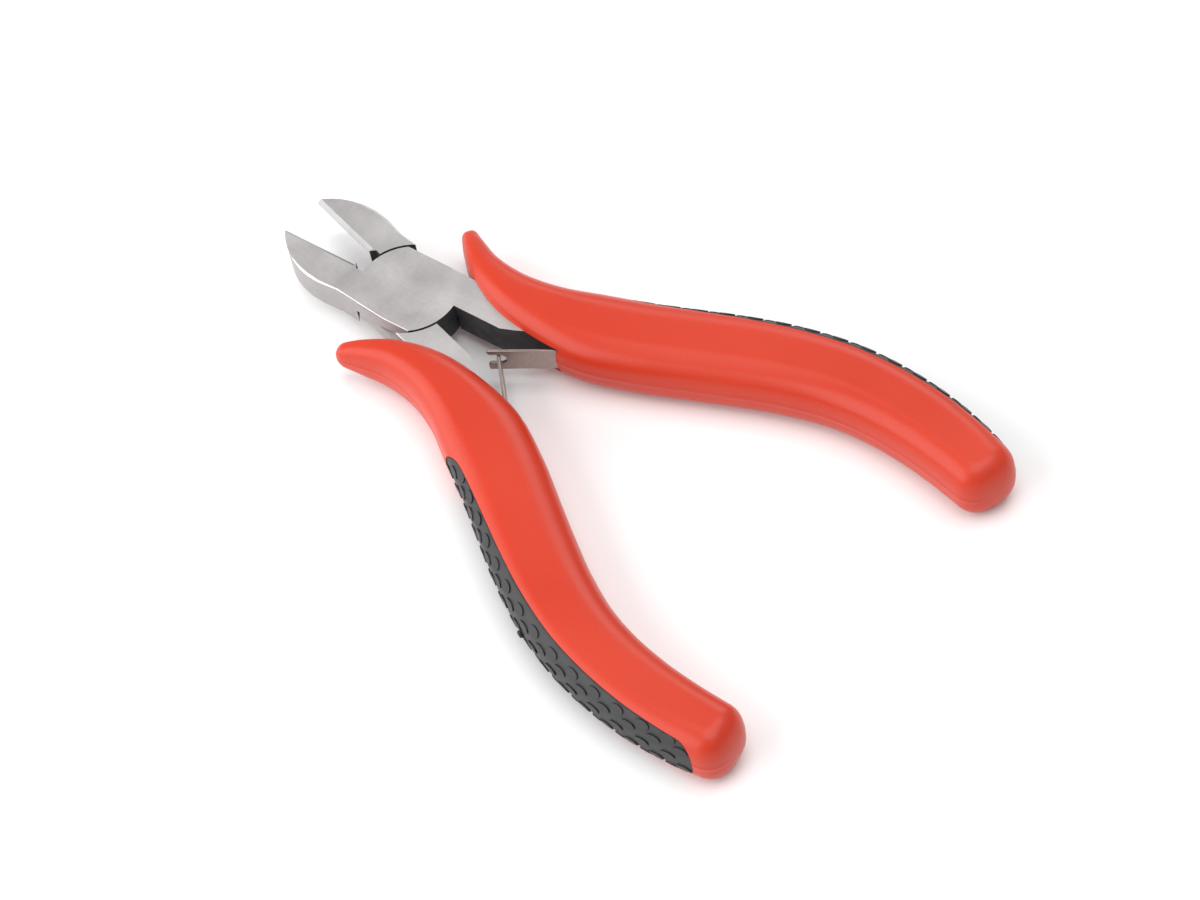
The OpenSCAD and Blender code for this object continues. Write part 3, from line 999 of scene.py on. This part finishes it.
def insert_angle(t):
    """Half the insert's angle at t, from 0 at its front end to 1 at its rear end."""
    front = math.sqrt(max(0, 1 - max(0, 1 - t / 0.065) ** 2))
    back = math.sqrt(max(0, 1 - max(0, (t - 0.945) / 0.055) ** 2))
    return (END_DEG + (MIDDLE_DEG - END_DEG) * math.sin(math.pi * t)) * max(front * back, 0.012)


def patch(name, side, rim, wider=0.0):
    """A closed solid on the grip's skin. rim lists distance in from the border and height, in mm."""
    points, faces = [], []
    width = 2 * len(rim)
    for k in range(PATCH_STEPS + 1):
        t = 0.5 - 0.5 * math.cos(math.pi * k / PATCH_STEPS)
        ease = wider / LENGTHS[-1]
        u = INSERT_FROM - ease + (INSERT_TO - INSERT_FROM + 2 * ease) * t
        degrees = insert_angle(t) + wider / MM_PER_DEGREE
        shares = [max(0.0, 1 - inset / MM_PER_DEGREE / degrees) for inset, _ in rim]
        row = [(share, grow) for share, (_, grow) in zip(shares, rim)]
        for share, grow in row + [(-share, grow) for share, grow in reversed(row)]:
            points.append(OPEN[side] @ skin(u, degrees * share, grow))
    for k in range(PATCH_STEPS):
        for i in range(width):
            j = (i + 1) % width
            faces.append((k * width + i, k * width + j, (k + 1) * width + j, (k + 1) * width + i))
    faces.append(tuple(range(width)))
    faces.append(tuple(PATCH_STEPS * width + i for i in range(width)))
    return new_object(name, mesh_from(name, points, faces))


GROUND_RISE = -0.17
RUBBER_RIM = [
    (0, -INSERT_DEEP), (0, -0.14), (0.04, -0.05), (0.1, -0.01), (0.18, -0.01), (0.28, -0.07),
    (0.42, GROUND_RISE), (0.8, GROUND_RISE), (1.3, GROUND_RISE), (1.9, GROUND_RISE), (2.5, GROUND_RISE),
    (3.2, GROUND_RISE), (3.9, GROUND_RISE), (4.6, GROUND_RISE), (5.3, GROUND_RISE),
]
RECESS_RIM = [(0, -INSERT_DEEP - GAP), (0, -0.6), (0, 1.0), (1.2, 1.0), (2.4, 1.0), (3.6, 1.0)]
inserts = {}
for side, grip in grips.items():
    cut(grip, patch("recess", side, RECESS_RIM, wider=GAP))
    tidy_mesh(grip.data, 1e-7)
    inserts[side] = patch(f"rubber_insert_{side}", side, RUBBER_RIM)
    print(count(grip), "|", count(inserts[side]))

# %% Finish the grips
for side, grip in grips.items():
    grip.data.materials.clear()
    grip.data.materials.append(red_plastic)
    smooth(grip, 38)
    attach(grip, f"half_{side}")
    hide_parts(f"grip_{side}")

# %% [markdown]
# ## Raised pads
# The rubber has rows of raised oval pads, each row set half a step on from the next, like bricks. A node tree
# scatters them: it makes a grid of points, reads each point's place on a flat map of the insert (millimetres
# along it and across it), and looks that place up on the real surface to find where the pad goes and which
# way it faces. Pads that would hang over the border are left out.

# %% The pad tree
pads = GeometryTree("pads on a surface", {
    "Pad": "Object", "Rows": "Int", "Columns": "Int", "First row": "Float", "Row step": "Float",
    "Column step": "Float", "Margin": "Float", "Size": "Vector", "Rubber": "Material",
})
surface = pads.given["Geometry"]
grid = pads.add("GeometryNodeMeshGrid", Vertices_X=pads.given["Rows"], Vertices_Y=pads.given["Columns"])
number = pads.add("GeometryNodeInputIndex").outputs[0]
row = pads.math("FLOOR", pads.math("DIVIDE", number, pads.given["Columns"]))
column = pads.math("MODULO", number, pads.given["Columns"])
from_middle = pads.math("SUBTRACT", column, pads.math("FLOOR", pads.math("DIVIDE", pads.given["Columns"], 2)))
stagger = pads.math("MULTIPLY", pads.math("MODULO", pads.math("ABSOLUTE", from_middle), 2), 0.5)
rows_on = pads.math("ADD", row, stagger)
along = pads.math("MULTIPLY_ADD", rows_on, pads.given["Row step"], pads.given["First row"])
sideways = pads.math("MULTIPLY", from_middle, pads.given["Column step"])
on_map = pads.add("ShaderNodeCombineXYZ", X=along, Y=sideways).outputs[0]
a_bit_on = pads.add("ShaderNodeCombineXYZ", X=pads.math("ADD", along, 0.3), Y=sideways).outputs[0]


def look_up(value, where):
    """Reads a value off the insert's surface at a place on its flat map."""
    return pads.add("GeometryNodeSampleUVSurface", {"data_type": "FLOAT_VECTOR"}, Mesh=surface, Value=value,
                    **{"_2": pads.named("flat_map"), "_3": where})


place = look_up(pads.add("GeometryNodeInputPosition").outputs[0], on_map)
facing = look_up(pads.add("GeometryNodeInputNormal").outputs[0], on_map)
ahead = look_up(pads.add("GeometryNodeInputPosition").outputs[0], a_bit_on)
room = look_up(pads.named("room"), on_map)
room_left = pads.math("SUBTRACT", pads.add("ShaderNodeSeparateXYZ", Vector=room.outputs[0]).outputs["X"],
                      pads.math("ABSOLUTE", sideways))
too_close = pads.math("LESS_THAN", room_left, pads.given["Margin"])
off_map = pads.math("SUBTRACT", 1, place.outputs["Is Valid"])
dropped = pads.math("MAXIMUM", too_close, off_map)
points = pads.add("GeometryNodeSetPosition", Geometry=grid.outputs["Mesh"], Position=place.outputs[0])
lengthwise = pads.vector("SUBTRACT", ahead.outputs[0], place.outputs[0])
upright = pads.add("FunctionNodeAlignRotationToVector", {"axis": "Z"}, Vector=facing.outputs[0])
turned = pads.add("FunctionNodeAlignRotationToVector", {"axis": "X", "pivot_axis": "Z"},
                  Rotation=upright.outputs[0], Vector=lengthwise)
pad_shape = pads.add("GeometryNodeObjectInfo", Object=pads.given["Pad"]).outputs["Geometry"]
keep = pads.add("FunctionNodeBooleanMath", {"operation": "NOT"}, _0=dropped).outputs[0]
copies = pads.add("GeometryNodeInstanceOnPoints", Points=points.outputs[0], Selection=keep,
                  Instance=pad_shape, Rotation=turned.outputs[0], Scale=pads.given["Size"])
pads.close(copies.outputs[0], pads.given["Rubber"])
print("pad tree:", len(pads.tree.nodes), "nodes")

# %% [markdown]
# The map is two attributes on a plain patch of the surface: flat_map holds millimetres along and across, and
# room how wide the insert is there. One pad is a turned stud with steep sides and a nearly flat top. A small
# moulding nub, where the rubber was injected, stands half way along.

# %% Pads and nub
PAD_SIZE = Vector((1.18, 0.7, 0.38))
FIRST_PAD = 32.1
MAP_ROWS, MAP_COLUMNS = 220, 24
NUB_ALONG, NUB_DEG = 61.2, -8


def map_patch(side):
    """The insert's outer surface as an open patch that knows its own flat map."""
    points, flat, room = [], [], []
    for k in range(MAP_ROWS + 1):
        t = k / MAP_ROWS
        u = INSERT_FROM + (INSERT_TO - INSERT_FROM) * t
        length = float(np.interp(u * SPINE_STEPS, np.arange(SPINE_STEPS + 1), LENGTHS))
        for i in range(MAP_COLUMNS + 1):
            degrees = MIDDLE_DEG * (2 * i / MAP_COLUMNS - 1)
            points.append(OPEN[side] @ skin(u, degrees, GROUND_RISE))
            flat.append((length, degrees * MM_PER_DEGREE, 0))
            room.append((insert_angle(t) * MM_PER_DEGREE, 0, 0))
    wide = MAP_COLUMNS + 1
    faces = [(k * wide + i, (k + 1) * wide + i, (k + 1) * wide + i + 1, k * wide + i + 1)
             for k in range(MAP_ROWS) for i in range(MAP_COLUMNS)]
    if side == "b":
        faces = [face[::-1] for face in faces]
    mesh = bpy.data.meshes.new(f"pads_{side}")
    mesh.from_pydata(points, [], faces)
    for name, rows in (("flat_map", flat), ("room", room)):
        layer = mesh.attributes.new(name, "FLOAT_VECTOR", "POINT")
        layer.data.foreach_set("vector", np.array(rows, np.float32).ravel())
    return new_object(f"pads_{side}", mesh)


pad = new_object("pad", lathe("pad", [
    (0, -0.5), (1, -0.5), (1, 0.35), (0.94, 0.72), (0.8, 0.93), (0.5, 0.99), (0, 1),
], 20))
for side, insert in inserts.items():
    studs = map_patch(side)
    pads.make(studs, Pad=pad, Rows=16, Columns=5, First_row=FIRST_PAD, Row_step=4.05, Column_step=1.9,
              Margin=0.75, Size=PAD_SIZE * MM, Rubber=pad_rubber)
    nub_u = float(np.interp(NUB_ALONG, LENGTHS, np.arange(SPINE_STEPS + 1) / SPINE_STEPS))
    root, tip = (skin(nub_u, NUB_DEG, grow) for grow in (-1.0, 0.4))
    nub = lathe("nub", [(0, 0), (0.5, 0), (0.48, 0.8), (0.6, 1.0), (0.6, 1.2), (0.43, 1.4), (0, 1.45)], 20)
    lean = (tip - root).to_track_quat("Z", "Y").to_matrix().to_4x4()
    nub.transform(OPEN[side] @ Matrix.Translation(root) @ lean)
    insert.data.materials.clear()
    insert.data.materials.append(ground_rubber)
    insert.data.materials.append(pad_rubber)
    bm = bmesh.new()
    bm.from_mesh(insert.data)
    ground_faces = len(bm.faces)
    for part in (studs.data, nub):
        bm.from_mesh(part)
    bmesh.ops.recalc_face_normals(bm, faces=bm.faces)
    bm.faces.ensure_lookup_table()
    for k, face in enumerate(bm.faces):
        face.material_index = 0 if k < ground_faces else 1
    bm.to_mesh(insert.data)
    bm.free()
    bpy.data.objects.remove(studs)
    smooth(insert, 42)
    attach(insert, f"half_{side}")
    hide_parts(f"grip_insert_{side}")
    print(count(insert))
bpy.data.objects.remove(pad)

# %% Measure and finish
low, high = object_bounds()
print("visual box in mm:", [round(1000 * x, 1) for x in (*low, *high)])
